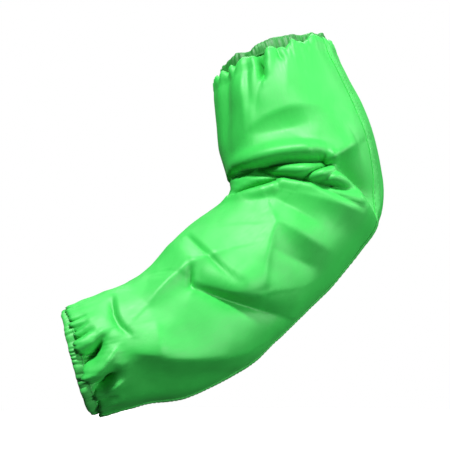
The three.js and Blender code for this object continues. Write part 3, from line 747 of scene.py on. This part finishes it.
def build_weave_group():
    """Sateen cloth: close slanted threads, slubs and soft wear, from the cloth's own places."""
    group = bpy.data.node_groups.new("sateen_weave", "ShaderNodeTree")
    face = group.interface
    face.new_socket("Places", in_out="INPUT", socket_type="NodeSocketVector")
    for name, value in (("Threads", 200.0), ("Mottle", 0.1), ("Weave Depth", 0.3)):
        face.new_socket(name, in_out="INPUT", socket_type="NodeSocketFloat").default_value = value
    for name in ("Cloth", "Deep"):
        face.new_socket(name, in_out="INPUT", socket_type="NodeSocketColor")
    face.new_socket("Color", in_out="OUTPUT", socket_type="NodeSocketColor")
    face.new_socket("Roughness", in_out="OUTPUT", socket_type="NodeSocketFloat")
    face.new_socket("Height", in_out="OUTPUT", socket_type="NodeSocketFloat")
    nodes, links = group.nodes, group.links
    given = nodes.new("NodeGroupInput")
    result = nodes.new("NodeGroupOutput")

    def node(kind, **settings):
        made = nodes.new(kind)
        for key, value in settings.items():
            setattr(made, key, value)
        return made

    def math(operation, first, second):
        made = node("ShaderNodeMath", operation=operation)
        for socket, value in zip(made.inputs, (first, second)):
            if isinstance(value, (int, float)):
                socket.default_value = value
            else:
                links.new(value, socket)
        return made.outputs[0]

    slant = node("ShaderNodeMapping")
    slant.inputs["Rotation"].default_value = (0, 0, np.radians(RIB_SLANT))
    links.new(given.outputs["Places"], slant.inputs["Vector"])
    rib = node("ShaderNodeTexWave", wave_type="BANDS", bands_direction="X")
    links.new(slant.outputs[0], rib.inputs["Vector"])
    links.new(given.outputs["Threads"], rib.inputs["Scale"])
    rib.inputs["Distortion"].default_value = 1.2
    rib.inputs["Detail"].default_value = 1.0
    thread = node("ShaderNodeTexWave", wave_type="BANDS", bands_direction="Y")
    links.new(given.outputs["Places"], thread.inputs["Vector"])
    links.new(given.outputs["Threads"], thread.inputs["Scale"])
    thread.inputs["Distortion"].default_value = 0.8
    slub = node("ShaderNodeTexNoise")
    stretch = node("ShaderNodeMapping")
    stretch.inputs["Scale"].default_value = SLUB_SCALE
    links.new(given.outputs["Places"], stretch.inputs["Vector"])
    links.new(stretch.outputs[0], slub.inputs["Vector"])
    slub.inputs["Scale"].default_value = 1.0
    slub.inputs["Detail"].default_value = 3.0
    cloud = node("ShaderNodeTexNoise")
    links.new(given.outputs["Places"], cloud.inputs["Vector"])
    cloud.inputs["Scale"].default_value = CLOUD_SCALE
    cloud.inputs["Detail"].default_value = 4.0
    ribs = math("MULTIPLY", rib.outputs["Fac"], RIB_SHARE)
    threads = math("MULTIPLY", thread.outputs["Fac"], 1 - RIB_SHARE)
    weave = math("ADD", ribs, threads)
    slubs = math("MULTIPLY", slub.outputs["Fac"], 0.5)
    clouds = math("MULTIPLY", cloud.outputs["Fac"], 0.9)
    tone = math("ADD", slubs, clouds)
    tone = math("SUBTRACT", tone, 0.7)
    shade = math("MULTIPLY", tone, given.outputs["Mottle"])
    shade = math("ADD", shade, math("MULTIPLY", math("SUBTRACT", weave, 0.5), 0.06))
    blend = node("ShaderNodeMix", data_type="RGBA", clamp_factor=True)
    links.new(math("SUBTRACT", 0.22, shade), blend.inputs["Factor"])
    links.new(given.outputs["Cloth"], blend.inputs["A"])
    links.new(given.outputs["Deep"], blend.inputs["B"])
    links.new(blend.outputs["Result"], result.inputs["Color"])
    roughness = math("ADD", SMOOTHEST, math("MULTIPLY", slub.outputs["Fac"], SLUB_ROUGHNESS))
    links.new(roughness, result.inputs["Roughness"])
    height = math("MULTIPLY", weave, given.outputs["Weave Depth"])
    links.new(math("ADD", height, math("MULTIPLY", slub.outputs["Fac"], 0.25)), result.inputs["Height"])
    return group


WEAVE = build_weave_group()


def cloth_material(name, cloth, deep, threads, mottle, weave_depth, sheen):
    material = bpy.data.materials.new(name)
    material.use_nodes = True
    nodes, links = material.node_tree.nodes, material.node_tree.links
    shader = nodes["Principled BSDF"]
    places = nodes.new("ShaderNodeUVMap")
    places.uv_map = "cloth"
    weave = nodes.new("ShaderNodeGroup")
    weave.node_tree = WEAVE
    links.new(places.outputs["UV"], weave.inputs["Places"])
    set_input(weave, "Threads", threads)
    set_input(weave, "Mottle", mottle)
    set_input(weave, "Weave Depth", weave_depth)
    set_input(weave, "Cloth", cloth)
    set_input(weave, "Deep", deep)
    bump = nodes.new("ShaderNodeBump")
    set_input(bump, "Strength", BUMP_STRENGTH)
    set_input(bump, "Distance", BUMP_HEIGHT)
    links.new(weave.outputs["Height"], bump.inputs["Height"])
    links.new(weave.outputs["Color"], shader.inputs["Base Color"])
    links.new(weave.outputs["Roughness"], shader.inputs["Roughness"])
    links.new(bump.outputs["Normal"], shader.inputs["Normal"])
    set_input(shader, "Specular IOR Level", SPECULAR)
    set_input(shader, "Sheen Weight", sheen)
    set_input(shader, "Sheen Roughness", 0.4)
    set_input(shader, "Sheen Tint", SHEEN_TINT)
    return material


def thread_material(name, color):
    """Sewing thread, with a fine twist along each stitch."""
    material = bpy.data.materials.new(name)
    material.use_nodes = True
    nodes, links = material.node_tree.nodes, material.node_tree.links
    shader = nodes["Principled BSDF"]
    places = nodes.new("ShaderNodeTexCoord")
    twist = nodes.new("ShaderNodeTexWave")
    set_input(twist, "Scale", 900.0)
    set_input(twist, "Distortion", 2.0)
    links.new(places.outputs["Object"], twist.inputs["Vector"])
    ramp = nodes.new("ShaderNodeValToRGB")
    ramp.color_ramp.elements[0].color = (*[0.6 * c for c in color[:3]], 1)
    ramp.color_ramp.elements[1].color = color
    links.new(twist.outputs["Fac"], ramp.inputs["Fac"])
    links.new(ramp.outputs["Color"], shader.inputs["Base Color"])
    set_input(shader, "Roughness", 0.55)
    set_input(shader, "Sheen Weight", 0.2)
    return material


GREEN = (0.034, 0.6, 0.078, 1)
DEEP_GREEN = (0.011, 0.29, 0.03, 1)
HEM_GREEN = (0.06, 0.6, 0.1, 1)
SEAM_GREEN = (0.046, 0.62, 0.09, 1)
# The upper hem's two colours are much darker than the body's. This is painted shade, for the hem lying back
# in the shadow of the body puffed over it.
SHADED_UPPER_HEM_GREEN = (0.02, 0.3, 0.038, 1)
SHADED_UPPER_HEM_DEEP_GREEN = (0.004, 0.07, 0.01, 1)
THREAD_GREEN = (0.06, 0.55, 0.1, 1)
ELASTIC_WHITE = (0.8, 0.79, 0.74, 1)
ELASTIC_GREY = (0.6, 0.59, 0.55, 1)
THREADS = 200
ELASTIC_THREADS = 90

# After the two colours: threads, mottle, depth of the weave, sheen
body_finish = cloth_material("green sateen", GREEN, DEEP_GREEN, THREADS, 0.5, 0.3, 0.08)
hem_finish = cloth_material(
    "green sateen, turned hem", HEM_GREEN, DEEP_GREEN, THREADS, 0.6, 0.35, 0.08
)
# The upper hem's dark colours are painted shade, broken up by a strong mottle.
upper_hem_painted_shade_finish = cloth_material(
    "green sateen, upper hem with painted shade", SHADED_UPPER_HEM_GREEN, SHADED_UPPER_HEM_DEEP_GREEN, THREADS, 2.6, 0.35, 0.05
)
seam_finish = cloth_material(
    "green sateen, felled seam", SEAM_GREEN, DEEP_GREEN, THREADS, 0.5, 0.35, 0.08
)
elastic_finish = cloth_material(
    "woven elastic", ELASTIC_WHITE, ELASTIC_GREY, ELASTIC_THREADS, 0.6, 0.6, 0.1
)
thread_finish = thread_material("green thread", THREAD_GREEN)


# Putting the sleeve together

def settle(piece, material):
    piece.data.materials.clear()
    piece.data.materials.append(material)
    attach(piece, "root")


body = make_body()
settle(body, body_finish)
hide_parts("sleeve_body")

sewn_on = []
for name, opening, inwards, depth, girth in (
    ("upper", 0, 1, UPPER_HEM, UPPER_GRIP),
    ("wrist", RUN, -1, WRIST_HEM, WRIST_GRIP),
):
    hem = ring_piece(f"{name}_hem_cloth", casing_profile(opening, inwards, depth), HEM_COLUMNS)
    # The upper hem gets the darker finish with painted shade, and the wrist hem gets the plain one.
    settle(hem, upper_hem_painted_shade_finish if name == "upper" else hem_finish)
    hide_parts(f"{name}_hem")
    elastic = ring_piece(f"{name}_elastic_band", elastic_profile(opening, inwards, depth), ELASTIC_COLUMNS)
    settle(elastic, elastic_finish)
    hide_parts(f"{name}_elastic")
    stitch_line = opening + inwards * (depth - HEM_STITCH_INSET)
    row = ring_stitches(f"{name}_hem_stitches", stitch_line, LEG_OUTSIDE - STITCH_SINK, girth)
    settle(row, thread_finish)
    sewn_on += [hem, elastic, row]

seam = make_seam()
settle(seam, seam_finish)
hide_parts("arm_seam")
for side, word in ((-1, "back"), (1, "front")):
    row = seam_stitches(f"seam_stitches_{word}", side)
    settle(row, thread_finish)
    sewn_on.append(row)


# Studio, in metres and watts

TABLE_RADIUS = 1.1
TABLE_THICKNESS = 0.04
FLOOR_GAP = 0.1
AIR_SEEN = 1.0
AIR_SHED = 0.1


def make_studio(lowest):
    """A round white table just under the sleeve."""
    bpy.ops.object.select_all(action="DESELECT")
    bpy.ops.mesh.primitive_cylinder_add(
        vertices=96,
        radius=TABLE_RADIUS,
        depth=TABLE_THICKNESS,
        location=(0, 0, lowest - TABLE_THICKNESS / 2),
    )
    table = bpy.context.object
    table.name = "studio_table"
    bpy.ops.object.transform_apply()
    material = bpy.data.materials.new("studio white")
    material.use_nodes = True
    shader = material.node_tree.nodes["Principled BSDF"]
    set_input(shader, "Base Color", (0.9, 0.9, 0.9, 1))
    set_input(shader, "Roughness", 0.9)
    table.data.materials.append(material)
    table.visible_diffuse = False
    table.visible_glossy = False


def add_softbox(name, place, size, power, target):
    data = bpy.data.lights.new(name, "AREA")
    data.shape = "SQUARE"
    data.size = size
    data.energy = power
    lamp = bpy.data.objects.new(name, data)
    lamp.location = place
    lamp.rotation_euler = (Vector(target) - Vector(place)).to_track_quat("-Z", "Y").to_euler()
    lamp.visible_camera = False
    bpy.context.collection.objects.link(lamp)


def light_world(seen, shed):
    """A white background that sheds only a weak light of its own, and isn't mirrored."""
    world = bpy.data.worlds.new("studio air")
    bpy.context.scene.world = world
    world.use_nodes = True
    nodes, links = world.node_tree.nodes, world.node_tree.links
    paths = nodes.new("ShaderNodeLightPath")
    glow = nodes.new("ShaderNodeMath")
    glow.operation = "MULTIPLY"
    glow.inputs[1].default_value = shed
    links.new(paths.outputs["Is Diffuse Ray"], glow.inputs[0])
    strength = nodes.new("ShaderNodeMath")
    strength.operation = "MULTIPLY_ADD"
    strength.inputs[1].default_value = seen
    links.new(paths.outputs["Is Camera Ray"], strength.inputs[0])
    links.new(glow.outputs[0], strength.inputs[2])
    links.new(strength.outputs[0], nodes["Background"].inputs["Strength"])
    nodes["Background"].inputs["Color"].default_value = (1, 1, 1, 1)


low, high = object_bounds()
make_studio(low.z - FLOOR_GAP)
middle = tuple((low + high) / 2)
add_softbox("key", (-0.65, -1.35, 1.95), 0.35, 98, middle)
add_softbox("fill", (1.7, -1.8, -0.1), 0.8, 34, middle)
add_softbox("side", (2.1, 0.1, 0.9), 0.7, 26, middle)
add_softbox("back", (0.0, 1.5, 1.7), 1.3, 42, (0.0, 1.1, low.z))
light_world(AIR_SEEN, AIR_SHED)
bpy.context.scene.view_settings.view_transform = "Standard"

# Camera: level with the sleeve and straight in front of it, from 3 m away
PHOTO_SCALE = 1.70
ORIGIN_PIXEL = (367.8, 181.3)
VIEW_CENTRE = (344.5, 270.5)
VIEW_WIDTH = 236
CAMERA_DISTANCE = 3.0
CAMERA_RISE = 2.0
target = Vector(
    (
        (VIEW_CENTRE[0] - ORIGIN_PIXEL[0]) * PHOTO_SCALE * MM,
        (low.y + high.y) / 2,
        -(VIEW_CENTRE[1] - ORIGIN_PIXEL[1]) * PHOTO_SCALE * MM,
    )
)
camera_data = bpy.data.cameras.new("camera")
camera_data.lens = camera_data.sensor_width * CAMERA_DISTANCE / (VIEW_WIDTH * PHOTO_SCALE * MM)
camera = bpy.data.objects.new("camera", camera_data)
rise = np.radians(CAMERA_RISE)
camera.location = target + CAMERA_DISTANCE * Vector((0, -np.cos(rise), np.sin(rise)))
camera.rotation_euler = (target - camera.location).to_track_quat("-Z", "Y").to_euler()
bpy.context.collection.objects.link(camera)
bpy.context.scene.camera = camera
